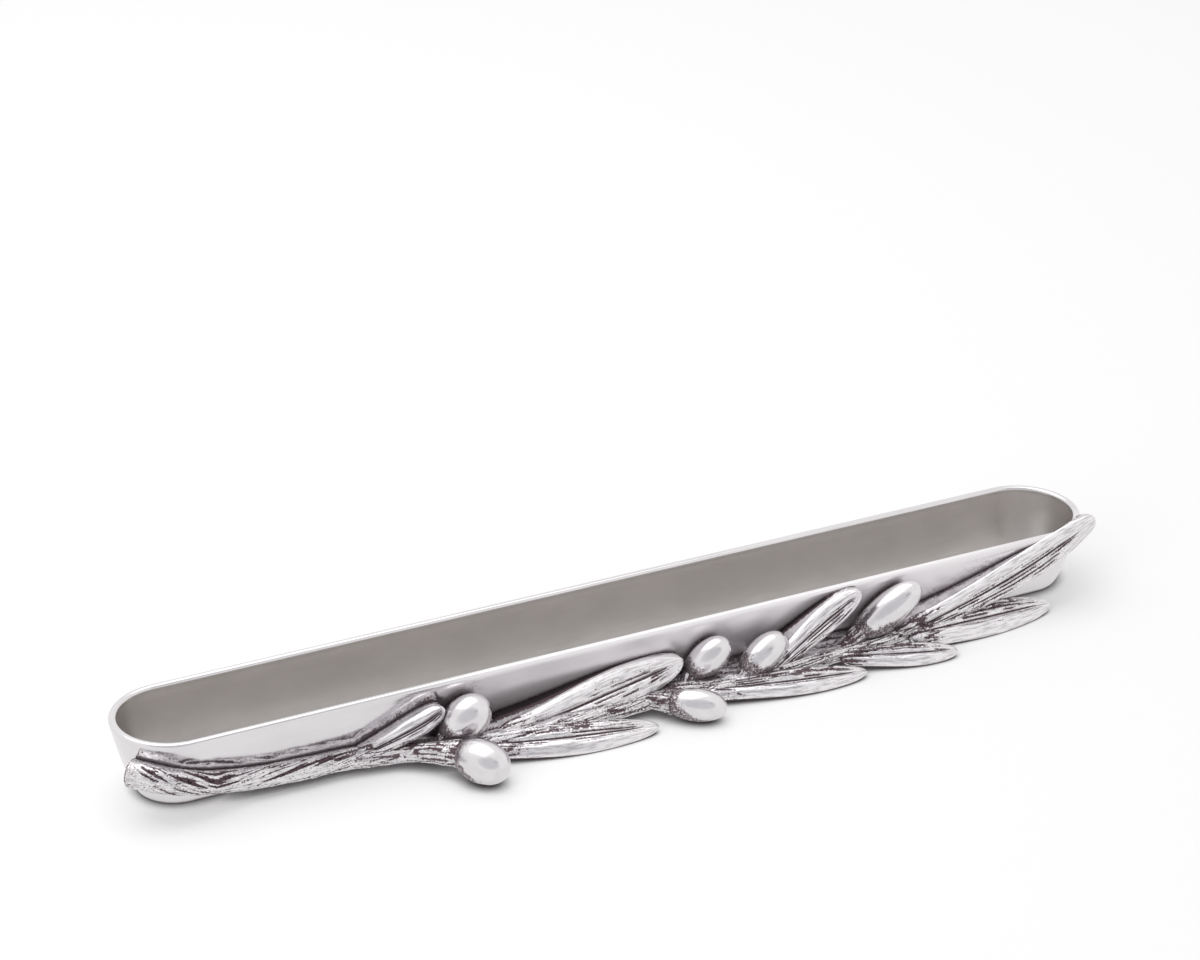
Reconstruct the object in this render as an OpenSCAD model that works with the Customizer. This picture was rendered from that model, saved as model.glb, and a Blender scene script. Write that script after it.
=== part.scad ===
/* [Tray] */
// Length of the tray over its rim
tray_l = 300; // [280:1:330]
// Width of the tray over its rim
tray_w = 34.4; // [33:0.1:40]
// Height of the rim above the table
tray_h = 22; // [20:0.5:25]
// Thickness of the wall at the rim
wall_t = 2.2; // [1.6:0.1:2.8]
// Thickness of the floor along the middle of the trough
floor_t = 3; // [2:0.1:4.5]
// How far the outside leans in between the rim and the table
wall_draft = 4.4; // [3:0.1:5.5]
// How far the foot of the outside then curves in
foot_curve = 2.5; // [1:0.1:3.5]
// How far the inside curves in from its wall to its floor
trough_curve = 6; // [4:0.1:7]
// Depth below the rim at which both curves start
curve_start = 4; // [3:0.5:6]
// Radius of the rounding along the rim
rim_r = 0.8; // [0.4:0.1:1]

/* [Sprig] */
// Widest stand-off of the sprig's middle lines from the wall of the tray
sprig_reach = 20; // [18:0.5:22]
// Radius of the stem at its cut end
stem_r = 4; // [3.4:0.1:4.4]
// Half width of the widest leaf
leaf_half_w = 5.2; // [4.4:0.1:5.6]
// How far the face of a leaf is crowned
leaf_crown = 1.9; // [1.4:0.1:2.2]
// How far the back of a leaf is rounded
leaf_back = 2.2; // [1.6:0.1:2.6]
// Radius of the thickest fruit
fruit_r = 5.9; // [5:0.1:6.1]
// Radius of the stalk that carries a fruit
stalk_r = 1.5; // [1.2:0.1:1.8]

/* [Hidden] */
$fn = 64;

// Cuts run this far past the faces that they open
overrun = 1;
// Colours of the polished tray and fruits, and of the darkened stem and leaves
polished = [0.86, 0.86, 0.87];
darkened = [0.66, 0.63, 0.64];
// Steps along the curved part of the wall and round the rim
wall_steps = 12;
rim_steps = 4;
// Rings between two places of the stem, rings of a leaf and of a stalk, steps along a fruit
stem_steps = 4;
leaf_rings = 16;
stalk_rings = 6;
fruit_steps = 14;
// Sides of the stem, a leaf and a stalk
stem_sides = 16;
leaf_sides = 14;
stalk_sides = 12;
// Least width of a leaf, at its root and its tip, as a share of its widest
tip_share = 0.1;
// Share of a leaf's length over which its root rounds off
root_share = 0.08;
// How much thicker the tip half of a fruit is than its base half
blunt_share = 0.08;
// How far a stalk flares towards its fruit, and how far it reaches along the fruit's length
flare_share = 0.6;
seat_share = 0.15;
// How far the web behind the stem and the backs of the upper leaves run towards the wall, as a
// share of their gap to it; past 1 they end in the wall
web_run = 1.3;
// Share of a curve's length over which its direction is taken
ahead_share = 0.02;

// Half the straight stretch between the round ends
straight = tray_l / 2 - tray_w / 2;

// Places on the sprig are shares: run along the straight stretch, stand-off from the wall as a
// share of sprig_reach, and height as a share of tray_h. A run past 1 goes round the end.
// Stem, from its cut end: run, stand-off, height, radius
stem_shares = [
    [-1.13, 0.150, 0.580, 1.00],
    [-1.08, 0.150, 0.570, 0.96],
    [-1.03, 0.140, 0.490, 0.88],
    [-0.97, 0.130, 0.385, 0.80],
    [-0.88, 0.125, 0.270, 0.77],
    [-0.78, 0.125, 0.220, 0.77],
    [-0.69, 0.130, 0.205, 0.77],
    [-0.60, 0.230, 0.185, 0.74],
    [-0.49, 0.410, 0.180, 0.70],
    [-0.37, 0.560, 0.180, 0.70],
    [-0.24, 0.590, 0.170, 0.67],
    [-0.08, 0.540, 0.165, 0.64],
    [0.05, 0.450, 0.165, 0.66],
    [0.16, 0.550, 0.155, 0.64],
    [0.27, 0.590, 0.155, 0.62],
    [0.39, 0.530, 0.155, 0.58],
    [0.55, 0.470, 0.155, 0.50],
    [0.64, 0.400, 0.155, 0.46],
];
// Leaves: station on the stem where the leaf grows, middle place, tip place, half width,
// where along the leaf it is widest, width of its root, power that fills out its outline
leaf_shares = [
    [6.3, [-0.530, 0.22, 0.545], [-0.475, 0.160, 0.720], 0.62, 0.50, 0.6, 0.60],
    [9.0, [-0.125, 0.33, 0.345], [0.080, 0.190, 0.530], 1.12, 0.60, 0.6, 0.60],
    [8.8, [-0.215, 0.92, 0.135], [-0.030, 1.060, 0.070], 0.98, 0.48, 0.8, 0.60],
    [13.9, [0.400, 0.28, 0.630], [0.503, 0.150, 0.930], 0.78, 0.58, 0.6, 0.60],
    [12.6, [0.310, 0.90, 0.125], [0.472, 1.000, 0.065], 0.80, 0.50, 0.8, 0.60],
    [15.3, [0.576, 0.90, 0.115], [0.693, 1.050, 0.065], 0.72, 0.55, 0.8, 0.60],
    [16.3, [0.870, 0.22, 0.585], [1.098, 0.225, 1.065], 0.88, 0.62, 0.75, 0.42],
    [16.6, [0.808, 0.54, 0.150], [0.980, 0.470, 0.075], 1.05, 0.48, 0.8, 0.60],
];
// How far each leaf's face is turned up from the wall, in degrees
leaf_tilts = [28, 36, 55, 25, 55, 55, 24, 52];
// How far each leaf's root stands out from the middle of the stem, as a share of stem_r
leaf_outs = [0, 0, 0.5, 0, 0.55, 0.45, 0, 0.4];
// Leaves whose backs are cast full to the wall
full_backs = [1, 1, 0, 1, 0, 0, 1, 0];
// Numbers of the fruits, with their stalks, and of the leaf that each leaf is cast against
leaf_fruits = [[0], [3], [], [4], [4], [5], [], []];
leaf_leaves = [[], [], [1], [], [], [4], [], [6]];
// Fruits: station on the stem where the stalk grows, base place, tip place, radius,
// radius of the stalk
fruit_shares = [
    [7.9, [-0.478, 0.31, 0.300], [-0.382, 0.31, 0.740], 1.00, 1.0],
    [7.3, [-0.474, 0.69, 0.290], [-0.405, 1.44, 0.250], 1.00, 1.7],
    [12.2, [0.090, 0.25, 0.270], [0.179, 0.25, 0.720], 0.81, 1.0],
    [11.5, [0.006, 0.68, 0.230], [0.117, 1.18, 0.190], 0.78, 1.5],
    [13.3, [0.203, 0.50, 0.225], [0.314, 0.28, 0.600], 0.81, 1.0],
    [15.2, [0.495, 0.28, 0.215], [0.639, 0.27, 0.895], 0.85, 1.3],
];
// Numbers of the other fruits, with their stalks, that each stalk is cast against
stalk_fruits = [[], [0], [], [], [], []];

// Share of the curve's inset that is reached a share e of the way down it
function curve_in(e) = 1 - sqrt(1 - e * e);

// How far the wall has leaned in at a depth below the rim
function lean_in(down) = wall_draft * max(down - rim_r, 0) / (tray_h - rim_r);

// Half width of the outside of the tray at height z
function wall_y(z) =
    let(
        down = min(max(tray_h - z, 0), tray_h),
        e = max(down - curve_start, 0) / (tray_h - curve_start)
    )
    tray_w / 2 - lean_in(down) - foot_curve * curve_in(e);

// Half width of the trough at height z
function trough_y(z) =
    let(
        down = min(max(tray_h - z, 0), tray_h - floor_t),
        e = max(down - curve_start, 0) / (tray_h - floor_t - curve_start)
    )
    tray_w / 2 - wall_t - lean_in(down) - trough_curve * curve_in(e);

// Heights for an outline from low up to where the rim's rounding starts, closer together low down
function heights(low) =
    [for (i = [0:wall_steps]) low + (tray_h - rim_r - low) * (1 - cos(90 * i / wall_steps))];

// Angle round an end of the tray that a run past the straight stretch stands for
function end_turn(run) = max(abs(run) - straight, 0) / (tray_w / 2) * 180 / PI;

// Direction straight out from the wall at a run
function outward(run) = [sign(run) * sin(end_turn(run)), -cos(end_turn(run)), 0];

// A point in front of the tray from its three shares
function beside(shares) =
    let(
        run = shares[0] * straight,
        z = shares[2] * tray_h,
        out = wall_y(z) + shares[1] * sprig_reach
    )
    [sign(run) * min(abs(run), straight), 0, z] + out * outward(run);

function unit(v) = v / norm(v);

// The smooth curve through a list of points, at a station counted in points
function along(points, station) =
    let(
        last = len(points) - 1,
        k = min(floor(station), last - 1),
        t = station - k,
        a = points[max(k - 1, 0)],
        b = points[k],
        c = points[k + 1],
        d = points[min(k + 2, last)]
    )
    b + t / 2 * (c - a + t * (2 * a - 5 * b + 4 * c - d + t * (3 * b - a - 3 * c + d)));

// The parabola through three points, at a share t of its length
function arc_through(a, b, c, t) =
    a * (1 - t) * (1 - 2 * t) + b * 4 * t * (1 - t) + c * t * (2 * t - 1);

// Places on the stem: point, radius, gap to the wall
stem_points = [
    for (row = stem_shares) concat(beside(row), [row[3] * stem_r, row[1] * sprig_reach])
];
function stem_at(station) =
    let(p = along(stem_points, station))
    [p[0], p[1], p[2]];

// Gap from a point beside the tray to its wall
function wall_gap(p) = norm([max(abs(p[0]) - straight, 0), p[1]]) - wall_y(p[2]);

// A closed skin over rings of points, each ring with the same number of points
module skin(rings) {
    sides = len(rings[0]);
    last = len(rings) - 1;
    side_faces = [
        for (i = [0:last - 1], j = [0:sides - 1])
            let(a = i * sides + j, b = i * sides + (j + 1) % sides)
            each [[a, b, a + sides], [b, b + sides, a + sides]]
    ];
    start_face = [for (j = [sides - 1:-1:0]) j];
    end_face = [for (j = [0:sides - 1]) last * sides + j];
    polyhedron(
        points = [for (ring = rings) each ring],
        faces = concat(side_faces, [start_face, end_face])
    );
}

// A ring of points across a rod: centre, direction, radius, reach of the half towards the tray
function rod_ring(centre, direction, r, reach, sides) =
    let(
        side = unit(cross(direction, [0, 0, 1])),
        up = cross(side, direction)
    )
    [
        for (j = [0:sides - 1])
            let(
                a = 360 * j / sides,
                wide = cos(a) < 0 ? reach : r
            )
            centre + wide * cos(a) * side + r * sin(a) * up
    ];

// Outline of half of the tray's outside, from the table up and over the rim
module outside_outline() {
    corner = [tray_w / 2 - rim_r, tray_h - rim_r];
    polygon(concat(
        [[0, 0]],
        [for (z = heights(0)) [wall_y(z), z]],
        [for (i = [1:rim_steps]) corner + rim_r * [cos(90 * i / rim_steps), sin(90 * i / rim_steps)]],
        [[0, tray_h]]
    ));
}

// Outline of half of the hollow, from the trough's floor up past the rim
module trough_outline() {
    corner = [tray_w / 2 - wall_t + rim_r, tray_h - rim_r];
    polygon(concat(
        [[0, floor_t]],
        [for (z = heights(floor_t)) [trough_y(z), z]],
        [for (i = [1:rim_steps]) corner + rim_r * [-cos(90 * i / rim_steps), sin(90 * i / rim_steps)]],
        [[corner[0], tray_h + overrun], [0, tray_h + overrun]]
    ));
}

// A long body with round ends from half of its cross-section
module round_ended() {
    rotate([90, 0, 90])
        translate([0, 0, -straight])
            linear_extrude(2 * straight) {
                children();
                mirror([1, 0]) children();
            }
    for (end = [-1, 1])
        translate([end * straight, 0, 0])
            rotate([0, 0, -90 * end])
                rotate_extrude(angle = 180) children();
}

module tray_outside() round_ended() outside_outline();

module stem_body() {
    stations = [for (i = [0:(len(stem_points) - 1) * stem_steps]) i / stem_steps];
    step = 1 / stem_steps;
    last = len(stem_points) - 1;
    skin([
        for (s = stations)
            let(
                here = along(stem_points, s),
                ahead = unit(stem_at(min(s + step, last)) - stem_at(max(s - step, 0)))
            )
            rod_ring(stem_at(s), ahead, here[3], max(here[3], web_run * here[4]), stem_sides)
    ]);
}

// Width of a leaf as a share of its widest, at a share t of its length, for its row's widest
// place, root width and power
function leaf_width_share(t, widest, root, power) =
    let(
        neck = root * pow(1 - t, 2),
        blade = t < 1 ? pow(sin(180 * pow(t, ln(0.5) / ln(widest))), power) : 0,
        start = sqrt(1 - pow(max(1 - t / root_share, 0), 2))
    )
    max(start * (neck + (1 - neck) * blade), tip_share);

module leaf_body(i) {
    row = leaf_shares[i];
    stem_middle = stem_at(row[0]);
    root = stem_middle + leaf_outs[i] * stem_r * outward(stem_middle[0]);
    middle = beside(row[1]);
    tip = beside(row[2]);
    half_w = row[3] * leaf_half_w;
    skin([
        for (k = [0:leaf_rings])
            let(
                t = sin(90 * k / leaf_rings),
                centre = arc_through(root, middle, tip, t),
                ahead = unit(arc_through(root, middle, tip, t + ahead_share) - centre),
                face = cos(leaf_tilts[i]) * outward(centre[0]) + [0, 0, sin(leaf_tilts[i])],
                side = unit(cross(face, ahead)),
                normal = cross(ahead, side),
                share = leaf_width_share(t, row[4], row[5], row[6]),
                thick = sqrt(share),
                crown = leaf_crown * thick * normal,
                back = full_backs[i] == 1
                    ? web_run * wall_gap(centre) * sqrt(thick) * outward(centre[0])
                    : leaf_back * thick * normal
            )
            [
                for (j = [0:leaf_sides - 1])
                    let(a = -360 * j / leaf_sides)
                    centre + half_w * share * cos(a) * side + sin(a) * (sin(a) > 0 ? crown : back)
            ]
    ]);
}

// A fruit from its base to its tip, with its blunt end at the tip
module fruit_body(i) {
    row = fruit_shares[i];
    base = beside(row[1]);
    tip = beside(row[2]);
    length = norm(tip - base);
    lean = tip - base;
    translate(base)
        rotate([0, acos(lean[2] / length), atan2(lean[1], lean[0])])
            rotate_extrude()
                polygon([
                    for (k = [0:fruit_steps])
                        let(
                            a = 180 * k / fruit_steps,
                            fullness = 1 - blunt_share * cos(a)
                        )
                        [row[3] * fruit_r * sin(a) * fullness, length / 2 * (1 - cos(a))]
                ]);
}

// A stalk from the middle of the stem into the base of its fruit, flared at the fruit
module stalk_body(i) {
    row = fruit_shares[i];
    start = stem_at(row[0]);
    base = beside(row[1]);
    tip = beside(row[2]);
    end = base + seat_share * (tip - base);
    middle = (start + base) / 2;
    skin([
        for (k = [0:stalk_rings])
            let(
                t = k / stalk_rings,
                centre = arc_through(start, middle, end, t),
                ahead = unit(arc_through(start, middle, end, t + ahead_share) - centre)
            )
            let(r = row[4] * stalk_r * (1 + flare_share * t * t))
            rod_ring(centre, ahead, r, r, stalk_sides)
    ]);
}

// Everything below the table
module under_table() {
    translate([-tray_l, -tray_l, -tray_h]) cube([2 * tray_l, 2 * tray_l, tray_h]);
}

module tray() {
    color(polished)
        difference() {
            tray_outside();
            round_ended() trough_outline();
        }
}

module stem() {
    color(darkened)
        difference() {
            stem_body();
            tray_outside();
        }
}

module leaf(i) {
    color(darkened)
        difference() {
            leaf_body(i);
            stem_body();
            tray_outside();
            under_table();
            for (k = leaf_fruits[i]) {
                fruit_body(k);
                stalk_body(k);
            }
            for (k = leaf_leaves[i]) leaf_body(k);
        }
}

module stalk(i) {
    color(darkened)
        difference() {
            stalk_body(i);
            stem_body();
            fruit_body(i);
            for (k = stalk_fruits[i]) {
                fruit_body(k);
                stalk_body(k);
            }
        }
}

module fruit(i) {
    color(polished)
        difference() {
            fruit_body(i);
            stem_body();
            tray_outside();
            under_table();
        }
}

tray();
stem();
for (i = [0:len(leaf_shares) - 1])
    leaf(i);
for (i = [0:len(fruit_shares) - 1])
    stalk(i);
for (i = [0:len(fruit_shares) - 1])
    fruit(i);
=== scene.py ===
"""Polished cast aluminium olive dish: a long round-ended trough with an olive sprig cast on its front wall.

Run as a script, it loads the CAD frame, puts a detailed piece in place of each CAD node, and adds the
camera, the lamps and the floor. Shapes are worked out in millimetres and made in metres.
"""

import math

import bpy
import numpy as np
from mathutils import Matrix, Vector, noise


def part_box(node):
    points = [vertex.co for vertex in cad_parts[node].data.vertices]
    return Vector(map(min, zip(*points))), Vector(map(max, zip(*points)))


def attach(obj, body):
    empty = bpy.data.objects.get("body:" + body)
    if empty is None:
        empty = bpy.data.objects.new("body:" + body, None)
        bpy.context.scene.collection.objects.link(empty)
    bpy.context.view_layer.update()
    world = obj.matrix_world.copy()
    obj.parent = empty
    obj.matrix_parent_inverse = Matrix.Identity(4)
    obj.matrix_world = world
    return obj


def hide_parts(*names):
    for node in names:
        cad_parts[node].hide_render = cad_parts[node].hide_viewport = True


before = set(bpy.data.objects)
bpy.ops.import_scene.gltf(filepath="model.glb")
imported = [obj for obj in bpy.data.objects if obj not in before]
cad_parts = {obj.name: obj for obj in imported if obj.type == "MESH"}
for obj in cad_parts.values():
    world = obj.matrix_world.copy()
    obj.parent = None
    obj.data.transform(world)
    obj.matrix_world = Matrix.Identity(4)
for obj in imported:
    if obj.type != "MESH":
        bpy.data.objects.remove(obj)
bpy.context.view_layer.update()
tray_low, tray_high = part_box("tray")

bl_info = {
    "name": "Olive Dish",
    "version": (1, 0, 0),
    "blender": (4, 5, 0),
    "location": "View3D > Sidebar > Olive Dish",
    "description": "Builds a polished cast aluminium olive dish with an olive sprig on its front",
    "category": "Add Mesh",
}

MM = 0.001  # Shapes are worked out in millimetres, and Blender and the settings count in metres


def linear(hex_code):
    """Linear colour of an sRGB hex code."""
    shares = [int(hex_code[i : i + 2], 16) / 255 for i in (1, 3, 5)]
    return tuple(c / 12.92 if c <= 0.04045 else ((c + 0.055) / 1.055) ** 2.4 for c in shares) + (1.0,)


# User settings


class DishSizes(bpy.types.PropertyGroup):
    """Sizes of the dish"""

    tray_length: bpy.props.FloatProperty(
        name="Length", description="Length of the tray over its rim",
        default=tray_high[0] - tray_low[0], unit="LENGTH",
    )
    tray_width: bpy.props.FloatProperty(
        name="Width", description="Width of the tray over its rim",
        default=tray_high[1] - tray_low[1], unit="LENGTH",
    )
    tray_height: bpy.props.FloatProperty(
        name="Height", description="Height of the rim above the table", default=tray_high[2], unit="LENGTH"
    )
    wall: bpy.props.FloatProperty(
        name="Wall", description="Thickness of the wall at the rim", default=2.2 * MM, unit="LENGTH"
    )
    floor: bpy.props.FloatProperty(
        name="Floor", description="Thickness of the trough's floor", default=3 * MM, unit="LENGTH"
    )
    sprig_reach: bpy.props.FloatProperty(
        name="Sprig reach", description="How far a place of the sprig with a stand-off of 1 is from the wall",
        default=20 * MM, unit="LENGTH",
    )
    stem_radius: bpy.props.FloatProperty(
        name="Stem radius", description="Radius of the stem at its cut end", default=4 * MM, unit="LENGTH"
    )
    leaf_half_width: bpy.props.FloatProperty(
        name="Leaf half width", description="Half the width of a leaf whose share is 1",
        default=5.2 * MM, unit="LENGTH",
    )
    fruit_radius: bpy.props.FloatProperty(
        name="Fruit radius", description="Radius of the largest fruit", default=5.9 * MM, unit="LENGTH"
    )
    stalk_radius: bpy.props.FloatProperty(
        name="Stalk radius", description="Radius of a fruit's stalk", default=1.5 * MM, unit="LENGTH"
    )
    groove_depth: bpy.props.FloatProperty(
        name="Groove depth", description="Depth of the grooves in bark and leaves",
        default=0.42 * MM, unit="LENGTH",
    )


class DishColours(bpy.types.PropertyGroup):
    """Colours of the dish"""

    polished: bpy.props.FloatVectorProperty(
        name="Polished metal", description="Colour of the hand-polished metal",
        subtype="COLOR", size=3, min=0, max=1, default=linear("#e4e1e3")[:3],
    )
    satin: bpy.props.FloatVectorProperty(
        name="Satin metal", description="Colour of the satin metal inside the trough",
        subtype="COLOR", size=3, min=0, max=1, default=linear("#b6b2af")[:3],
    )
    # Also the colour of the painted shade on the sprig and the wall, and, darkened, of its near-black parts
    patina: bpy.props.FloatVectorProperty(
        name="Patina", description="Colour of the dark patina left in the recesses",
        subtype="COLOR", size=3, min=0, max=1, default=linear("#614f55")[:3],
    )


# The dish's shape


class Form:
    """The dish's shape in millimetres, from the sizes in the panel. A place beside the tray is given by its
    run, as a share of half the tray's straight part, its stand-off from the wall, as a share of the sprig's
    reach, and its height, as a share of the rim's."""

    # Tray: lip, how far the wall leans in, and how far foot and trough curve in below the curve's start
    rim_r = 0.8
    draft = 4.4
    foot_curve = 2.5
    trough_curve = 6.0
    curve_start = 4.0
    # Leaves: height of the crown, depth of a lower leaf's back, and share of the length that closes the root
    leaf_crown = 1.9
    leaf_back = 2.2
    root_share = 0.08
    # Fruits: how much blunter the base is than the tip
    blunt_share = 0.08
    # How far the stem's web and the upper leaves' backs run towards the wall, as a share of their gap to it,
    # and how deep under its face they may end
    web_run = 1.3
    bedded = 0.6
    # Length of the stem, as a share of half the tray's straight part
    stem_run = 1.77
    # Stem, from its cut end: place and radius as a share of the widest
    stem_shares = [
        (-1.13, 0.150, 0.580, 1.00),
        (-1.08, 0.150, 0.570, 0.96),
        (-1.03, 0.140, 0.490, 0.88),
        (-0.97, 0.130, 0.385, 0.80),
        (-0.88, 0.125, 0.270, 0.77),
        (-0.78, 0.125, 0.220, 0.77),
        (-0.69, 0.130, 0.205, 0.77),
        (-0.60, 0.230, 0.185, 0.74),
        (-0.49, 0.410, 0.180, 0.70),
        (-0.37, 0.560, 0.180, 0.70),
        (-0.24, 0.590, 0.170, 0.67),
        (-0.08, 0.540, 0.165, 0.64),
        (0.05, 0.450, 0.165, 0.66),
        (0.16, 0.550, 0.155, 0.64),
        (0.27, 0.590, 0.155, 0.62),
        (0.39, 0.530, 0.155, 0.58),
        (0.55, 0.470, 0.155, 0.50),
        (0.64, 0.400, 0.155, 0.46),
    ]
    # Leaves: station on the stem, middle place, tip place, half width, where widest, root width, fullness,
    # tilt in degrees, how far the root stands out from the stem, and the smooth half: 1 upper, -1 lower.
    # The leaves with a smooth upper half lean on the wall, and their backs are cast full to it.
    leaf_rows = [
        (6.3, (-0.530, 0.22, 0.545), (-0.475, 0.160, 0.720), 0.62, 0.50, 0.60, 0.60, 28, 0.0, 1),
        (9.0, (-0.125, 0.33, 0.345), (0.080, 0.190, 0.530), 1.12, 0.60, 0.60, 0.60, 36, 0.0, 1),
        (8.8, (-0.215, 0.92, 0.135), (-0.030, 1.060, 0.070), 0.98, 0.48, 0.80, 0.60, 55, 0.5, -1),
        (13.9, (0.400, 0.28, 0.630), (0.503, 0.150, 0.930), 0.78, 0.58, 0.60, 0.60, 25, 0.0, 1),
        (12.6, (0.310, 0.90, 0.125), (0.472, 1.000, 0.065), 0.80, 0.50, 0.80, 0.60, 55, 0.55, -1),
        (15.3, (0.576, 0.90, 0.115), (0.693, 1.050, 0.065), 0.72, 0.55, 0.80, 0.60, 55, 0.45, -1),
        (16.3, (0.870, 0.22, 0.585), (1.098, 0.225, 1.065), 0.88, 0.62, 0.75, 0.42, 24, 0.0, 1),
        (16.6, (0.808, 0.54, 0.150), (0.980, 0.470, 0.075), 1.05, 0.48, 0.80, 0.60, 52, 0.4, -1),
    ]
    # Leaves with a wide painted shadow where their backs meet the wall: how wide it is at the root, and
    # where along the leaf it ends
    cleft_shadows = {2: (1.0, 0.8), 4: (0.5, 1.4)}
    # Veins beside a leaf's midrib: place across the leaf, from -1 to 1, and depth
    vein_rows = [(-0.27, 0.9), (-0.5, 0.9), (-0.72, 0.8), (0.16, 0.7), (0.36, 0.4)]
    # Fruits: station of the stalk on the stem, base place, tip place, radius, radius of the stalk
    fruit_rows = [
        (7.9, (-0.478, 0.31, 0.300), (-0.382, 0.31, 0.740), 1.00, 1.0),
        (7.3, (-0.474, 0.69, 0.290), (-0.405, 1.44, 0.250), 1.00, 1.7),
        (12.2, (0.090, 0.25, 0.270), (0.179, 0.25, 0.720), 0.81, 1.0),
        (11.5, (0.006, 0.68, 0.230), (0.117, 1.18, 0.190), 0.78, 1.5),
        (13.3, (0.203, 0.50, 0.225), (0.314, 0.28, 0.600), 0.81, 1.0),
        (15.2, (0.495, 0.28, 0.215), (0.639, 0.27, 0.895), 0.85, 1.3),
    ]

    def __init__(self, sizes):
        """Takes the panel's sizes over in millimetres."""
        self.length = sizes.tray_length / MM
        self.width = sizes.tray_width / MM
        self.height = sizes.tray_height / MM
        self.wall = sizes.wall / MM
        self.floor = sizes.floor / MM
        self.reach = sizes.sprig_reach / MM
        self.stem_r = sizes.stem_radius / MM
        self.leaf_half_w = sizes.leaf_half_width / MM
        self.fruit_r = sizes.fruit_radius / MM
        self.stalk_r = sizes.stalk_radius / MM
        self.groove = sizes.groove_depth / MM
        self.straight = self.length / 2 - self.width / 2
        self.stem_points = np.array(
            [(*self.beside(row[:3]), row[3] * self.stem_r, row[1] * self.reach) for row in self.stem_shares]
        )

    def lean_in(self, down):
        """How far the wall leans in at a depth below the rim."""
        return self.draft * np.maximum(down - self.rim_r, 0) / (self.height - self.rim_r)

    def wall_y(self, z):
        """Half width of the outside at height z."""
        down = np.clip(self.height - z, 0, self.height)
        e = np.maximum(down - self.curve_start, 0) / (self.height - self.curve_start)
        return self.width / 2 - self.lean_in(down) - self.foot_curve * (1 - np.sqrt(1 - e * e))

    def trough_y(self, z):
        """Half width of the hollow at height z."""
        near_black_shade = self.height - self.floor
        down = np.clip(self.height - z, 0, near_black_shade)
        e = np.maximum(down - self.curve_start, 0) / (near_black_shade - self.curve_start)
        return self.width / 2 - self.wall - self.lean_in(down) - self.trough_curve * (1 - np.sqrt(1 - e * e))

    def outward(self, run):
        """Direction straight out from the wall at a run."""
        run = np.asarray(run, float)
        turn = np.maximum(np.abs(run) - self.straight, 0) / (self.width / 2)
        return np.stack([np.sign(run) * np.sin(turn), -np.cos(turn), np.zeros_like(turn)], -1)

    def beside(self, shares):
        """A point in front of the tray from its run, stand-off and height shares."""
        run, z = shares[0] * self.straight, shares[2] * self.height
        out = self.wall_y(z) + shares[1] * self.reach
        return np.array([math.copysign(min(abs(run), self.straight), run), 0, z]) + out * self.outward(run)

    def stem_at(self, station):
        """Centre, radius and gap to the wall of the stem at a station counted in points."""
        return along(self.stem_points, np.asarray(station, float))

    def wall_gap(self, points):
        """Distance from points beside the tray to its wall, below 0 inside it."""
        past = np.maximum(np.abs(points[..., 0]) - self.straight, 0)
        return np.hypot(past, points[..., 1]) - self.wall_y(points[..., 2])

    def out_of_wall(self, points):
        """Moves points that lie too deep inside the wall back out to just under its face."""
        sunk = np.maximum(-self.bedded - self.wall_gap(points), 0)
        return points + sunk[..., None] * self.outward(points[..., 0])


def unit(v):
    """Vectors of length 1 in the same directions."""
    return v / np.linalg.norm(v, axis=-1, keepdims=True)


def along(points, station):
    """The smooth curve through a list of points, at stations counted in points."""
    last = len(points) - 1
    k = np.minimum(np.floor(station).astype(int), last - 1)
    t = (station - k)[..., None]
    a, b = points[np.maximum(k - 1, 0)], points[k]
    c, d = points[k + 1], points[np.minimum(k + 2, last)]
    return b + t / 2 * (c - a + t * (2 * a - 5 * b + 4 * c - d + t * (3 * b - a - 3 * c + d)))


def arc_through(a, b, c, t):
    """The parabola through three points, at shares t of its length."""
    t = np.asarray(t, float)[..., None]
    return a * (1 - t) * (1 - 2 * t) + b * 4 * t * (1 - t) + c * t * (2 * t - 1)


def smooth(low, high, x):
    """0 below low, 1 above high, with a soft step between them."""
    s = np.clip((x - low) / (high - low), 0, 1)
    return s * s * (3 - 2 * s)


def spokes(axis, level, angle):
    """Directions square to an axis at angles round it, the first of them square to level too."""
    side = unit(np.cross(axis, level))
    up = np.cross(side, axis)
    return np.cos(angle)[:, None] * side + np.sin(angle)[:, None] * up


def dent(x, centre, width):
    """A soft groove's profile: 1 on its line, 0 a few widths away."""
    return np.exp(-(((x - centre) / width) ** 2))


def grain(points, size, seed=0.0):
    """Smooth noise of about -1 to 1 at each point, whose bumps are size millimetres across."""
    shift = Vector((seed * 17.3, seed * 5.1, seed * 9.7))
    flat = points.reshape(-1, 3) / size
    values = [noise.noise(Vector(p) + shift) for p in flat]
    return np.array(values).reshape(points.shape[:-1])


def furrows(distance, across, height, beads, seed):
    """1 along dark lines that run lengthwise, 1 to 2 mm apart and broken into beads, 0 on the ridges."""
    length, breadth = 9, 1.25
    strands = grain(np.stack([distance / length, across / breadth, height / breadth], -1), 1.0, seed)
    return smooth(0.26, 0.02, np.abs(strands) + 0.12 * beads)


# Mesh helpers


def places_of(obj):
    """Places of a mesh's vertices, one row each."""
    places = np.empty(len(obj.data.vertices) * 3)
    obj.data.vertices.foreach_get("co", places)
    return places.reshape(-1, 3)


def deselect():
    """Deselects every object, so that an operator acts on the new one alone."""
    bpy.ops.object.select_all(action="DESELECT")


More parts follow.
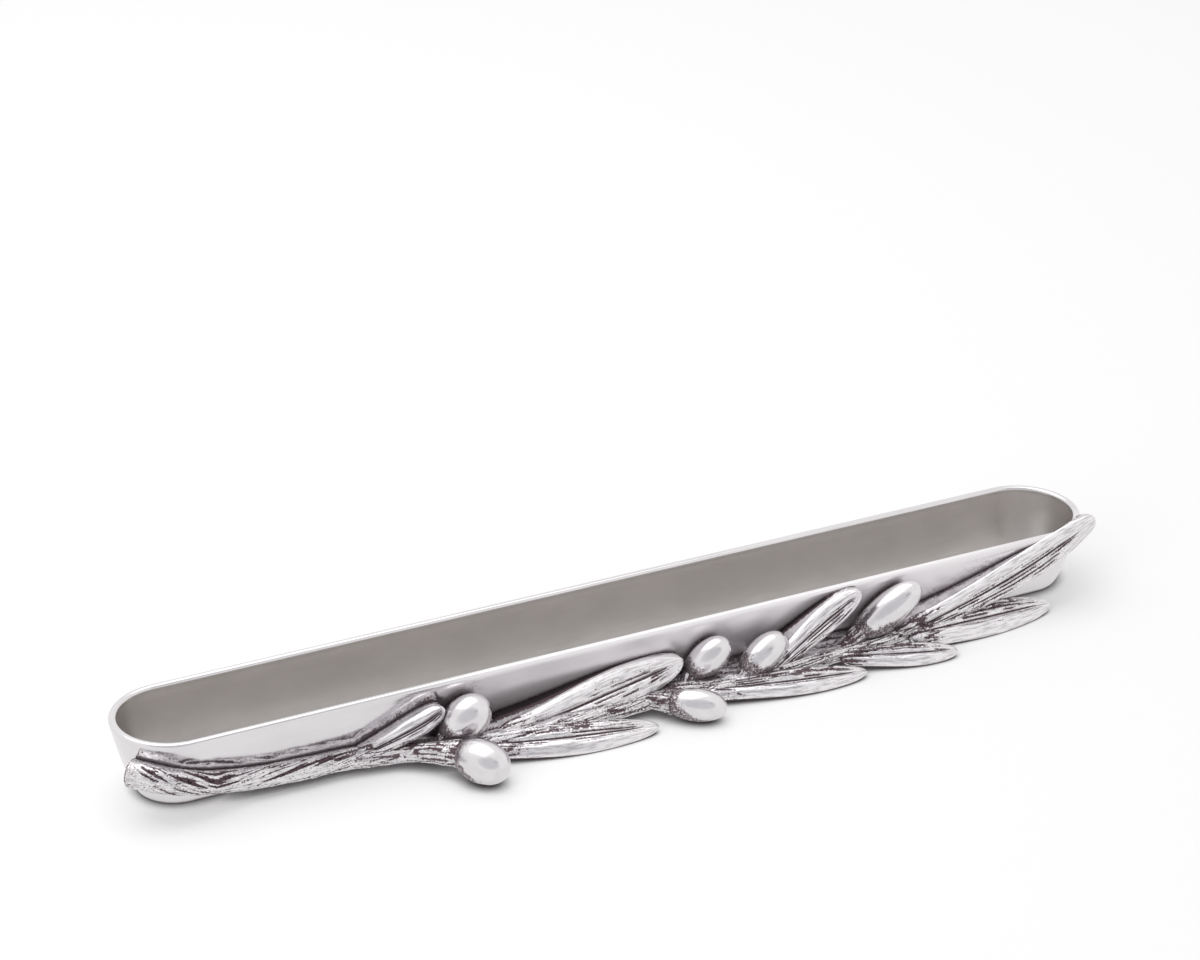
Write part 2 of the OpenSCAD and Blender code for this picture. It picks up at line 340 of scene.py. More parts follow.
def finish_piece(obj, name, node, slot, *materials):
    """Names a piece, closes and smooths its mesh, and puts it in place of its CAD node."""
    sharp_angle = 50
    deselect()
    obj.name = name
    obj.data.name = name
    bpy.context.view_layer.objects.active = obj
    obj.select_set(True)
    bpy.ops.object.mode_set(mode="EDIT")
    bpy.ops.mesh.select_all(action="SELECT")
    bpy.ops.mesh.remove_doubles(threshold=0.001 * MM)
    bpy.ops.mesh.normals_make_consistent(inside=False)
    bpy.ops.object.mode_set(mode="OBJECT")
    bpy.ops.object.shade_smooth_by_angle(angle=math.radians(sharp_angle))
    obj.select_set(False)
    for material in materials:
        obj.data.materials.append(material)
    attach(obj, "root")
    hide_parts(node)


def wrapped_grid(columns, rows):
    """A flat grid to be wrapped into a closed form, with each vertex's share along and angle round."""
    deselect()
    bpy.ops.mesh.primitive_grid_add(x_subdivisions=columns, y_subdivisions=rows, size=2)
    places = places_of(bpy.context.object)
    return bpy.context.object, (places[:, 0] + 1) / 2, (places[:, 1] + 1) * math.pi


def wrap(obj, points, patina_and_shade, flow):
    """Moves a grid's vertices to points in millimetres, none of them below the table, and stores each one's
    share of patina and painted shade, and its distance along and round the piece for patterns that follow
    the surface."""
    points[:, 2] = np.maximum(points[:, 2], 0)
    obj.data.vertices.foreach_set("co", (points * MM).ravel())
    layer = obj.data.attributes.new("patina_and_shade", "FLOAT", "POINT")
    layer.data.foreach_set("value", np.clip(patina_and_shade, 0, 1))
    layer = obj.data.attributes.new("flow", "FLOAT_VECTOR", "POINT")
    layer.data.foreach_set("vector", (np.stack([*flow, np.zeros_like(patina_and_shade)], -1) * MM).ravel())
    obj.data.update()


# Materials


def add(tree, kind, values=None, links=None, **settings):
    """Adds a node with its settings, input values and links."""
    node = tree.nodes.new(kind)
    for name, value in settings.items():
        setattr(node, name, value)
    for name, value in (values or {}).items():
        node.inputs[name].default_value = value
    for name, socket in (links or {}).items():
        tree.links.new(socket, node.inputs[name])
    return node


def noise_value(tree, size_mm, stretch=(1, 1, 1), detail=3.0, roughness=0.6, flow=False):
    """Noise whose bumps are size_mm across, stretched along the axes, in object space or along the flow."""
    if flow:
        place = add(tree, "ShaderNodeAttribute", attribute_name="flow").outputs["Vector"]
    else:
        place = add(tree, "ShaderNodeTexCoord").outputs["Object"]
    scale = [1 / (size_mm * MM * s) for s in stretch]
    moved = add(tree, "ShaderNodeMapping", {"Scale": scale}, {"Vector": place})
    texture = add(
        tree, "ShaderNodeTexNoise", {"Scale": 1.0, "Detail": detail, "Roughness": roughness},
        {"Vector": moved.outputs["Vector"]},
    )
    return texture.outputs["Fac"]


def span(tree, value, low, high, to_low=0.0, to_high=1.0, kind="SMOOTHSTEP"):
    """Maps value from low..high to to_low..to_high."""
    node = add(
        tree, "ShaderNodeMapRange",
        {"From Min": low, "From Max": high, "To Min": to_low, "To Max": to_high},
        {"Value": value}, interpolation_type=kind,
    )
    return node.outputs["Result"]


def maths(tree, operation, a, b):
    """One sum of two values, each a socket or a number."""
    node = add(tree, "ShaderNodeMath", operation=operation)
    for index, value in enumerate((a, b)):
        if isinstance(value, bpy.types.NodeSocket):
            tree.links.new(value, node.inputs[index])
        else:
            node.inputs[index].default_value = value
    return node.outputs["Value"]


def mixed(tree, factor, a, b):
    """Mix of two colours, each a socket or a colour."""
    node = add(tree, "ShaderNodeMix", links={0: factor}, data_type="RGBA")
    for index, value in ((6, a), (7, b)):
        if isinstance(value, bpy.types.NodeSocket):
            tree.links.new(value, node.inputs[index])
        else:
            node.inputs[index].default_value = value
    return node.outputs[2]


def new_material(name):
    """A material with an empty node tree."""
    material = bpy.data.materials.new(name)
    material.use_nodes = True
    tree = material.node_tree
    tree.nodes.clear()
    return material, tree


def object_place(tree):
    """A node whose outputs X, Y and Z give the place on the dish."""
    place = add(tree, "ShaderNodeTexCoord").outputs["Object"]
    return add(tree, "ShaderNodeSeparateXYZ", links={0: place})


def shade_of(colour, factor=1.0):
    """A setting's colour, made lighter or darker, with its alpha."""
    return tuple(min(c * factor, 1) for c in colour) + (1.0,)


def times(tree, value, factor):
    """A value times a number or another value."""
    return maths(tree, "MULTIPLY", value, factor)


def varied(tree, value, amount):
    """A noise of 0 to 1 turned into a change of about half the amount to either side of 0."""
    return times(tree, maths(tree, "SUBTRACT", value, 0.5), amount)


def metal_output(tree, colour, roughness, metallic, height, bump_mm, anisotropic=0.0):
    """The metal shader at the end of a material. A height of 1 stands out by bump_mm."""
    bump = add(tree, "ShaderNodeBump", {"Strength": 1.0, "Distance": bump_mm * MM}, {"Height": height})
    relief = bump.outputs["Normal"]
    shader = add(
        tree, "ShaderNodeBsdfPrincipled", {"Anisotropic": anisotropic},
        {"Base Color": colour, "Roughness": roughness, "Metallic": metallic, "Normal": relief},
    )
    add(tree, "ShaderNodeOutputMaterial", links={"Surface": shader.outputs["BSDF"]})


def crevice_patina_and_shade(tree, reach_mm):
    """1 deep in a narrow gap between pieces, 0 in the open: it paints patina and shade there."""
    occlusion = add(tree, "ShaderNodeAmbientOcclusion", {"Distance": reach_mm * MM}, samples=8)
    return span(tree, occlusion.outputs["AO"], 0.75, 0.25)


def patina_metallic(tree, patina_and_shade_mask, least):
    """Metallic of bare metal, lower where the dull patina and the painted shade cover it."""
    return span(tree, patina_and_shade_mask, 0, 1, 1.0, least)


def polished_wall(colours):
    """Hand-polished cast aluminium of the wall and the lip."""
    # The eye sees a soft mirror that ripples along the wall, with faint lengthwise brush lines. Behind the
    # sprig it turns satin and less metallic, and its colour is painted paler: painted light that keeps the
    # wall pale where it mirrors the shaded floor and the sprig. Patina and painted shade darken the
    # crevices.
    material, tree = new_material("Aluminium cast and hand polished")
    ripple = noise_value(tree, 12, (3, 1, 0.8), 1.0, 0.5)
    brushed = noise_value(tree, 0.6, (25, 25, 0.8), 2.0)
    cloud = noise_value(tree, 14, (2, 1, 0.6))
    speck = noise_value(tree, 0.5, detail=4)
    # Patina, and painted shade in the crevices by the sprig, broken up by specks
    patina_and_shade_mask = times(tree, crevice_patina_and_shade(tree, reach_mm=2.0), span(tree, speck, 0.3, 0.62, 0.6, 1.0))
    # The satin zone starts past the first leaf, on the front only, and fades towards the right end
    place = object_place(tree)
    beyond = span(tree, place.outputs["X"], -66 * MM, -44 * MM)
    front = span(tree, place.outputs["Y"], -4 * MM, -9 * MM)
    fading = span(tree, place.outputs["X"], 85 * MM, 135 * MM, 1.0, 0.4)
    satin = times(tree, times(tree, beyond, front), fading)
    cloudy = span(tree, cloud, 0.3, 0.7)
    metal = mixed(tree, cloudy, shade_of(colours.polished, 0.93), shade_of(colours.polished))
    # Painted light: the satin zone's colour is painted paler, to keep the wall pale where it mirrors shade
    metal = mixed(tree, satin, metal, shade_of(colours.polished, 1.22))
    colour = mixed(tree, patina_and_shade_mask, metal, shade_of(colours.patina))
    softer = maths(tree, "ADD", times(tree, satin, 0.2), times(tree, patina_and_shade_mask, 0.3))
    rough = maths(tree, "ADD", span(tree, brushed, 0.3, 0.7, 0.11, 0.19), softer)
    height = maths(tree, "ADD", ripple, times(tree, brushed, 0.02))
    satin_metallic = span(tree, satin, 0, 1, 1.0, 0.6, "LINEAR")
    metallic = times(tree, patina_metallic(tree, patina_and_shade_mask, 0.4), satin_metallic)
    metal_output(tree, colour, rough, metallic, height, bump_mm=0.06, anisotropic=0.35)
    return material


def satin_trough(colours):
    """Cast aluminium of the trough, brushed lengthwise and left satin."""
    # The eye sees a softer, darker and warmer grey than outside, cloudy, and painted lighter towards the
    # rim, as painted light that reaches the upper trough more than its depth.
    material, tree = new_material("Aluminium cast with satin trough")
    brushed = noise_value(tree, 0.5, (16, 0.9, 0.9), 2.0)
    cloud = noise_value(tree, 10, (2, 1, 1))
    # Painted light: the colour is lighter towards the rim, where more light falls into the trough
    painted_light_to_rim = span(tree, object_place(tree).outputs["Z"], 10 * MM, 22 * MM)
    shade = maths(tree, "ADD", times(tree, painted_light_to_rim, 0.7), span(tree, cloud, 0.3, 0.7, 0.0, 0.3))
    metal = mixed(tree, shade, shade_of(colours.satin), shade_of(colours.satin, 1.3))
    rough = span(tree, brushed, 0.3, 0.7, 0.3, 0.42)
    metallic = span(tree, cloud, 0, 1, 1.0, 0.98)
    height = maths(tree, "ADD", cloud, times(tree, brushed, 0.1))
    metal_output(tree, metal, rough, metallic, height, bump_mm=0.1, anisotropic=0.3)
    return material


def antiqued(colours, name, polish):
    """Cast aluminium of the sprig, darkened all over and then rubbed bright on its high places."""
    # The eye sees bright beads and ridges between dark purplish brown grooves, with streaks that follow each
    # piece's length. Painted shade darkens the gaps between pieces and the places by the wall and the table,
    # near black where an upper leaf's back meets the wall. polish is the roughness when rubbed.
    material, tree = new_material(name)
    # The attribute holds each place's patina and its painted shade by the wall and the table
    patina_and_shade = add(tree, "ShaderNodeAttribute", attribute_name="patina_and_shade").outputs["Fac"]
    speck = noise_value(tree, 0.5, roughness=0.7)
    streak = noise_value(tree, 0.55, (9, 1, 1), flow=True)
    uneven = maths(tree, "ADD", varied(tree, speck, 1.5), varied(tree, streak, 0.9))
    speckled_patina_and_shade = span(tree, maths(tree, "ADD", patina_and_shade, uneven), 0.33, 0.58)
    # Patina, and painted shade in the gaps between pieces
    patina_and_shade_mask = maths(tree, "MAXIMUM", speckled_patina_and_shade, times(tree, crevice_patina_and_shade(tree, reach_mm=1.4), 0.9))
    streaked = span(tree, streak, 0.36, 0.56)
    metal = mixed(tree, streaked, shade_of(colours.polished, 0.72), shade_of(colours.polished, 1.08))
    # Painted shade: near black where an upper leaf's back meets the wall
    near_black_shade = span(tree, patina_and_shade, 0.95, 1.0)
    patina = mixed(tree, near_black_shade, shade_of(colours.patina), shade_of(colours.patina, 0.2))
    colour = mixed(tree, patina_and_shade_mask, metal, patina)
    rubbed = span(tree, streak, 0.3, 0.7, polish, polish + 0.08)
    rough = maths(tree, "ADD", rubbed, times(tree, patina_and_shade_mask, 0.35))
    grit = times(tree, times(tree, speck, patina_and_shade), 1.6)
    height = maths(tree, "ADD", times(tree, streak, 0.5), grit)
    metal_output(tree, colour, rough, patina_metallic(tree, patina_and_shade_mask, 0.45), height, bump_mm=0.1)
    return material


def polished_fruit(colours):
    """Aluminium cast as fruits and polished to a smooth satin."""
    # The eye sees a soft, slightly cloudy shine with fine scratches and dark grainy patina round the base.
    # Painted shade darkens it close to the wall, the table and the other pieces.
    material, tree = new_material("Aluminium cast as fruits and satin polished")
    patina_and_shade = add(tree, "ShaderNodeAttribute", attribute_name="patina_and_shade").outputs["Fac"]
    speck = noise_value(tree, 0.5, roughness=0.7)
    cloud = noise_value(tree, 4, detail=1.0)
    scratch = noise_value(tree, 0.25, (14, 1, 6), 1.0)
    # Patina round the base, and painted shade by the wall and the table
    speckled_patina_and_shade = span(tree, maths(tree, "ADD", patina_and_shade, varied(tree, speck, 1.2)), 0.38, 0.72)
    # Painted shade in the gaps between pieces
    patina_and_shade_mask = maths(tree, "MAXIMUM", speckled_patina_and_shade, times(tree, crevice_patina_and_shade(tree, reach_mm=2.4), 0.8))
    cloudy = span(tree, cloud, 0.35, 0.65)
    metal = mixed(tree, cloudy, shade_of(colours.polished, 0.95), shade_of(colours.polished))
    colour = mixed(tree, patina_and_shade_mask, metal, shade_of(colours.patina))
    rough = maths(tree, "ADD", span(tree, scratch, 0.3, 0.7, 0.19, 0.26), times(tree, patina_and_shade_mask, 0.35))
    height = maths(tree, "ADD", cloud, times(tree, scratch, 0.04))
    metal_output(tree, colour, rough, patina_metallic(tree, patina_and_shade_mask, 0.45), height, bump_mm=0.05)
    return material


# Tray


def tray_profile(form):
    """Half outline from the base over the lip to the trough's floor, as a list of (radius, height)."""
    wall_rows, lip_rows, above_round = 29, 19, 0.25
    lip_low = form.height - form.rim_r - above_round
    rise = 1 - np.cos(np.linspace(0, math.pi / 2, wall_rows))
    outside = [(form.wall_y(z), z) for z in rise * lip_low]
    inside = [(form.trough_y(z), z) for z in form.floor + rise * (lip_low - form.floor)]
    outer, inner = outside[-1][0], inside[-1][0]
    middle, half = (outer + inner) / 2, (outer - inner) / 2
    lip = []
    for turn in np.linspace(0, math.pi, lip_rows)[1:-1]:
        c, s = math.cos(turn), math.sin(turn)
        # Powers below 1 make the lip a little fuller than round
        r = middle + half * math.copysign(abs(c) ** 0.75, c)
        lip.append((r, lip_low + (form.height - lip_low) * abs(s) ** 0.9))
    # Rings close to the edges of base and floor keep those flat, and the base's own edge is slightly eased
    base_edge, floor_edge = outside[0][0], inside[0][0]
    bottom = [(base_edge * 0.5, 0.0), (base_edge * 0.94, 0.0), (base_edge * 0.985, 0.12)]
    top = [(floor_edge * 0.97, form.floor), (floor_edge * 0.5, form.floor)]
    return bottom + outside[1:] + lip + inside[::-1] + top


def build_bowl(form):
    """A closed bowl of rings, turned so that edges cross the middle plane, where it can be pulled apart."""
    profile, ring = tray_profile(form), 168
    deselect()
    bpy.ops.mesh.primitive_circle_add(vertices=ring, radius=profile[0][0] * MM)
    obj = bpy.context.object
    bpy.ops.object.mode_set(mode="EDIT")
    bpy.ops.mesh.select_all(action="SELECT")
    bpy.ops.transform.rotate(value=math.pi / ring, orient_axis="Z", center_override=(0, 0, 0))
    for (r0, z0), (r1, z1) in zip(profile, profile[1:]):
        bpy.ops.mesh.extrude_region_move(TRANSFORM_OT_translate={"value": (0, 0, (z1 - z0) * MM)})
        bpy.ops.transform.resize(value=(r1 / r0, r1 / r0, 1), center_override=(0, 0, z1 * MM))
    bpy.ops.mesh.select_all(action="DESELECT")
    bpy.ops.mesh.select_mode(type="VERT")
    bpy.ops.mesh.select_non_manifold()
    bpy.ops.mesh.edge_face_add()
    bpy.ops.object.mode_set(mode="OBJECT")
    return obj


def pull_apart(obj, half_run):
    """Moves the two halves of the bowl apart along X, which leaves straight walls between round ends."""
    places = places_of(obj)
    places[:, 0] += np.sign(places[:, 0]) * half_run * MM
    obj.data.vertices.foreach_set("co", places.ravel())
    obj.data.update()


def in_trough(form, centre):
    """Whether a face's centre lies inside the trough, below the polished lip."""
    x, y, z = (value / MM for value in centre)
    r = math.hypot(max(abs(x) - form.straight, 0), y)
    between = (form.wall_y(z) + form.trough_y(z)) / 2
    polished_lip = 1.2
    return r < between and 0.9 * form.floor < z < form.height - polished_lip


class OLIVE_OT_tray(bpy.types.Operator):
    """Build the tray: the long round-ended trough with its rounded lip"""

    bl_idname = "olive_dish.tray"
    bl_label = "Tray"

    def execute(self, context):
        form = Form(context.scene.olive_sizes)
        colours = context.scene.olive_colours
        obj = build_bowl(form)
        pull_apart(obj, form.straight)
        obj.data.materials.append(polished_wall(colours))
        obj.data.materials.append(satin_trough(colours))
        for face in obj.data.polygons:
            face.material_index = 1 if in_trough(form, face.center) else 0
        finish_piece(obj, "cast_tray", "tray", "tray_metal")
        return {"FINISHED"}


# Sprig


# Faces along and round a piece
STEM_GRID = (700, 110)
LEAF_GRID = (260, 130)
STALK_GRID = (90, 70)
FRUIT_GRID = (120, 110)

# A piece's number seeds its noise. These are added to keep leaves, stalks and fruits apart.
LEAF_SEED = 0
STALK_SEED = 40
FRUIT_SEED = 60


def stem_surface(form, t, angle):
    """Points of the bark, their patina, painted shade and flow, at shares t along and angles round."""
    last = len(form.stem_points) - 1
    cap = 0.012  # Share of the rows that close the cut end
    step = 0.25  # Stations before and after a point that give the stem's direction there
    bead_size, bead_height, knot_size, knot_height = 0.6, 0.1, 5.0, 0.25
    patch_depth, line_depth, furrow_depth = 0.9, 0.6, 0.75  # As shares of the groove depth
    station = np.clip((t - cap) / (1 - cap), 0, 1) * last
    here = form.stem_at(station)
    centre, radius, gap = here[:, :3], here[:, 3], here[:, 4]
    before, after = np.maximum(station - step, 0), np.minimum(station + step, last)
    ahead = unit(form.stem_at(after)[:, :3] - form.stem_at(before)[:, :3])
    side = unit(np.cross(ahead, [0, 0, 1.0]))
    up = np.cross(side, ahead)
    # c is 1 on the front and -1 at the wall, where the section runs on as a web
    c, s = np.cos(angle), np.sin(angle)
    around = c[:, None] * side + s[:, None] * up
    reach = np.where(c < 0, np.maximum(radius, form.web_run * gap), radius)
    section = (reach * c)[:, None] * side + (radius * s)[:, None] * up
    closing = np.where(t < cap, np.clip(t / cap, 0, 1) ** 0.9, 1) * np.sqrt(1 - smooth(0.985, 1, t))
    skin = centre + closing[:, None] * section
    distance = station * form.straight * form.stem_run / last
    # Where each finish lies: the web, the stem past its first fork, its grainy part and the sawn end
    web = smooth(0.1, -0.35, c)
    forked = smooth(0.36, 0.48, t)
    grainy = np.maximum(web, 0.85 * smooth(0.34, 0.42, t))
    sawn = smooth(0.06, 0.035, t)
    # Bark: lens-shaped patches and fine lines that turn slowly round the stem, with beads and knots
    twist = -0.06 * np.abs(distance - 42)
    around_x, around_y = np.cos(angle + twist), np.sin(angle + twist)
    patches = grain(np.stack([distance * 0.08, 4.2 * around_x, 4.2 * around_y], -1), 1.0, 1)
    lines = grain(np.stack([distance * 0.1, 5.2 * around_x, 5.2 * around_y], -1), 1.0, 2)
    beads = grain(skin, bead_size, 3)
    knots = grain(skin, knot_size, 4)
    deep = smooth(0.17, 0.29, patches + 0.14 * beads) * (1 - grainy) * (1 - sawn)
    fine = 0.8 * dent(lines, 0, 0.1) * smooth(-0.4, 0.2, beads + knots) * (1 - web) * (1 - sawn)
    furrow = furrows(distance, reach * c, radius * s, beads, 5) * (forked + (1 - forked) * (1 - web))
    sunk = patch_depth * deep + line_depth * fine + furrow_depth * furrow * grainy
    lift = knot_height * knots + bead_height * beads - form.groove * sunk
    lift *= np.where(t < cap, t / cap, 1)
    points = form.out_of_wall(centre + closing[:, None] * (section + lift[:, None] * around))
    # Patina in the bark's patches and lines, between the beads and round the cut end, and painted shade
    # along the wall
    bark = np.maximum(deep, fine) * 0.85 + 0.3 * smooth(0.0, 0.5, -beads) + 0.06
    grit = 0.2 + 0.6 * furrow * smooth(-0.6, 0.1, beads + 0.3 * knots) + 0.1 * smooth(0.1, -0.4, beads)
    grit = np.where(c < 0, forked * grit + (1 - forked) * (0.2 + 0.1 * beads), grit)
    # Painted shade on the web, darker the closer it comes to the wall
    wall_shade = (0.5 + 0.25 * forked) * smooth(0.9, 0.2, form.wall_gap(points)) * smooth(0.1, -0.4, c)
    cut_skin = sawn * (0.3 + 0.15 * beads) * (c > -0.3)
    cut_edge = 0.6 * dent(t, 0.016, 0.003)
    patina_and_shade = bark * (1 - grainy) + np.maximum(grit, 0.7 * fine) * grainy
    patina_and_shade = np.maximum.reduce([patina_and_shade, wall_shade, cut_skin, cut_edge])
    return points, patina_and_shade, (distance, angle * radius)


def leaf_surface(form, row, t, angle, seed):
    """Points of one leaf, their patina, painted shade and flow: a smooth lobe, a midrib and a ribbed half."""
    station, middle, tip, width, widest, neck, fullness, tilt, out_share, smooth_side = row
    bead_size, lump_size, bead_height = 0.5, 1.6, 0.1
    vein_depth, furrow_depth = 1.2, 0.75  # As shares of the groove depth
    midrib_width, vein_width, valley_width = 0.06, 0.065, 0.17  # As shares of the half width
    stem_middle = form.stem_at(station)[:3]
    root = stem_middle + out_share * form.stem_r * form.outward(stem_middle[0])
    middle, tip = form.beside(middle), form.beside(tip)
    length = np.linalg.norm(tip - root)
    # Rows lie closer together towards the tip
    t = np.sin(t * math.pi / 2)
    centre = arc_through(root, middle, tip, t)
    ahead = unit(arc_through(root, middle, tip, t + 0.02) - centre)
    out = form.outward(centre[:, 0])
    tilt = math.radians(tilt)
    side = unit(np.cross(math.cos(tilt) * out + np.array([0, 0, math.sin(tilt)]), ahead))
    normal = np.cross(ahead, side)
    # Outline: the width along the leaf as a share of the widest, from a closed root to a round tip
    neck = neck * (1 - t) ** 2
    blade = np.sin(math.pi * np.clip(t, 0, 1) ** (math.log(0.5) / math.log(widest)))
    start = np.sqrt(1 - np.clip(1 - t / form.root_share, 0, 1) ** 2)
    share = start * (neck + (1 - neck) * np.clip(blade, 0, 1) ** (fullness - 0.14 * smooth(0.6, 1, t)))
    share = np.maximum(share, 0.1 * np.sqrt(np.clip((1 - t) / 0.02, 0, 1)))
    thick = np.sqrt(share)
    half = width * form.leaf_half_w
    # u runs across the leaf, from 1 on the edge of its smooth half to -1 on that of its ribbed half
    c, s = np.cos(angle), np.sin(angle)
    front = s > 0
    u = c * smooth_side
    place = centre + (half * share * c)[:, None] * side
    # Lobe above the midrib, valley along it, and the flatter half below it
    wander = 0.035 * grain(np.stack([t * length, c * 2, c * 0], -1), 14, seed + 20)
    rib_line = -0.06 + wander
    lobe = 0.84 + 0.24 * dent(u, 0.5, 0.3) - 0.14 * smooth(0.05, -0.25, u)
    valley = 0.32 * dent(u, rib_line, valley_width) * smooth(0.02, 0.2, t) * smooth(1.0, 0.75, t)
    cut = dent(u, rib_line, midrib_width) * smooth(0.0, 0.15, t) * smooth(0.98, 0.8, t)
    # Long broken veins beside the midrib, closer together towards both ends
    for line, depth in form.vein_rows:
        across = line * (1 - 0.45 * (2 * t - 1) ** 2) + 1.6 * wander
        gaps = grain(np.stack([t * length, 20 * line + 0 * t, 0 * t], -1), 9, seed + 9)
        broken = smooth(-0.22, 0.12, gaps)
        vein = dent(u, across, vein_width) * smooth(0.05, 0.2, t) * smooth(0.97, 0.8, t)
        cut = np.maximum(cut, depth * broken * vein)
    pillow = np.abs(s) ** 0.8
    rise = form.leaf_crown * thick * pillow * (lobe - valley)
    if smooth_side > 0:
        back = (form.web_run * form.wall_gap(centre) * np.sqrt(thick) * s)[:, None] * out
        grainy = smooth(-0.4, -0.8, u) * smooth(0.8, 0.3, t)
    else:
        back = (form.leaf_back * thick * s)[:, None] * normal
        grainy = smooth(-0.15, -0.5, u) * smooth(1.0, 0.75, t)
    points = place + np.where(front[:, None], rise[:, None] * normal, back)
    # Beads and furrows at the root and on the grainy half
    beads = grain(points, bead_size, seed)
    lumps = grain(points, lump_size, seed + 5)
    pad = np.clip(smooth(0.26, 0.1, t + 0.08 * lumps) + 0.85 * grainy, 0, 1)
    furrow = furrows(t * length, c * share * half, 0 * t, beads, seed + 30)
    grains = bead_height * (beads + lumps)
    relief = pad * (grains - furrow_depth * form.groove * furrow) - vein_depth * form.groove * cut
    points = points + np.where(front, relief * pillow, 0)[:, None] * normal
    # Patina in veins and furrows and thinly on the ribbed half, and painted shade on the backs
    grit = 0.24 + 0.46 * furrow + 0.1 * smooth(0.2, -0.4, lumps)
    patina_and_shade = np.maximum.reduce([cut * 0.95, pad * grit, 0.14 * smooth(0.0, -0.2, u)])
    if smooth_side > 0:
        flank = smooth(0, -0.2, s)
        points = points + (flank * grains * thick)[:, None] * np.array([0, 0, 1.0])
        points = form.out_of_wall(points)
        # Painted shade on an upper leaf's back: darker the nearer the wall, near black against it
        gap = form.wall_gap(points)
        below_rim = smooth(form.height - 0.5, form.height - 2.5, points[:, 2])
        cleft_shadow_share, cleft_shadow_end = form.cleft_shadows.get(seed, (0, 1))
        cleft_shadow = cleft_shadow_share * smooth(cleft_shadow_end, 0.1, t)
        wall_shade = smooth(0.8 + 6.5 * cleft_shadow, 0.2 + 3.0 * cleft_shadow, gap) * below_rim
        back_patina_and_shade = np.maximum(flank * (0.14 + 0.3 * smooth(3.5, 0.8, gap)), wall_shade)
        patina_and_shade = np.where(front, patina_and_shade, back_patina_and_shade)
    else:
        # Painted contact shadow: a lower leaf darkens along its lower edge and on its underside
        contact_shade = 0.95 * smooth(0.2, 0.06, s) * smooth(0.2, 0.8, u)
        patina_and_shade = np.where(front, np.maximum(patina_and_shade, contact_shade), 0.95)
    return points, patina_and_shade, (t * length, c * half)


def fruit_surface(form, row, t, angle, seed):
    """Points of one fruit, their patina, painted shade and flow: a smooth egg with a grainy collar."""
    bead_size, bead_height, lump_size, lump_height, collar_height = 0.6, 0.1, 2.2, 0.16, 0.05
    base, tip, size = form.beside(row[1]), form.beside(row[2]), row[3] * form.fruit_r
    axis = unit(tip - base)
    a = t * math.pi
    r = size * np.sin(a) * (1 - form.blunt_share * np.cos(a))
    distance = np.linalg.norm(tip - base) / 2 * (1 - np.cos(a))
    around = spokes(axis, [0, 1.0, 0], angle)
    points = base + distance[:, None] * axis + r[:, None] * around
    beads = grain(points, bead_size, seed)
    lumps = grain(points, lump_size, seed + 3)
    # The collar reaches further up the fruit on its underside
    low = smooth(0.3, -0.8, around[:, 2])
    collar = smooth(0.48, 0.28, t + 0.1 * lumps - 0.3 * low)
    grains = bead_height * beads + lump_height * lumps + collar_height
    points = points + (collar * grains)[:, None] * around
    # Patina on the collar, and painted shade where the fruit comes close to the wall or the table
    wall_shade = smooth(1.1, 0.1, form.wall_gap(points))
    table_shade = smooth(1.5, 0.9, points[:, 2])
    patina_and_shade = np.maximum.reduce([collar * 0.62, wall_shade, table_shade])
    return points, patina_and_shade, (distance, angle * size)


def stalk_surface(form, row, t, angle, seed):
    """Points of one stalk, from the stem to just inside its fruit, their patina and their flow."""
    bead_size, bead_height, lump_size, lump_height = 0.7, 0.1, 2.0, 0.2
    furrow_depth, widening = 0.5, 0.6
    start = form.stem_at(row[0])[:3]
    base, tip = form.beside(row[1]), form.beside(row[2])
    end = base + 0.15 * (tip - base)
    middle = (start + base) / 2
    centre = arc_through(start, middle, end, t)
    ahead = unit(arc_through(start, middle, end, t + 0.02) - centre)
    around = spokes(ahead, [0, 0, 1.0], angle)
    closing = np.sqrt(np.clip(t / 0.02, 0, 1)) * np.sqrt(np.clip((1 - t) / 0.02, 0, 1))
    r = row[4] * form.stalk_r * (1 + widening * t * t)
    skin = centre + around * r[:, None]
    beads = grain(skin, bead_size, seed)
    lumps = grain(skin, lump_size, seed + 2)
    distance = t * np.linalg.norm(end - start)
    furrow = furrows(distance, r * np.cos(angle), r * np.sin(angle), beads, seed + 4)
    lift = bead_height * beads + lump_height * lumps - furrow_depth * form.groove * furrow
    points = centre + ((r + lift) * closing)[:, None] * around
    patina_and_shade = 0.24 + 0.5 * furrow + 0.12 * smooth(0.1, -0.3, lumps)
    return points, patina_and_shade, (distance, angle * r)


def build_each(form, rows, kind, surface, grid, seed, slot, material):
    """Builds one piece of a kind from each row, numbered from 1."""
    for number, row in enumerate(rows, 1):
        obj, t, angle = wrapped_grid(*grid)
        wrap(obj, *surface(form, row, t, angle, number + seed))
        finish_piece(obj, f"olive_{kind}_{number}", f"{kind}_{number}", slot, material)


class OLIVE_OT_stem(bpy.types.Operator):
    """Build the stem of the sprig, with its grooved bark and cut end"""

    bl_idname = "olive_dish.stem"
    bl_label = "Stem"

    def execute(self, context):
        form = Form(context.scene.olive_sizes)
        obj, t, angle = wrapped_grid(*STEM_GRID)
        wrap(obj, *stem_surface(form, t, angle))
        material = antiqued(context.scene.olive_colours, "Aluminium cast as bark with patina and painted shade", polish=0.24)
        finish_piece(obj, "sprig_stem", "stem", "sprig_metal", material)
        return {"FINISHED"}


class OLIVE_OT_leaves(bpy.types.Operator):
    """Build the eight leaves of the sprig"""

    bl_idname = "olive_dish.leaves"
    bl_label = "Leaves"

    def execute(self, context):
        form = Form(context.scene.olive_sizes)
        material = antiqued(context.scene.olive_colours, "Aluminium cast as leaves and polished", polish=0.2)
        build_each(form, form.leaf_rows, "leaf", leaf_surface, LEAF_GRID, LEAF_SEED, "sprig_metal", material)
        return {"FINISHED"}


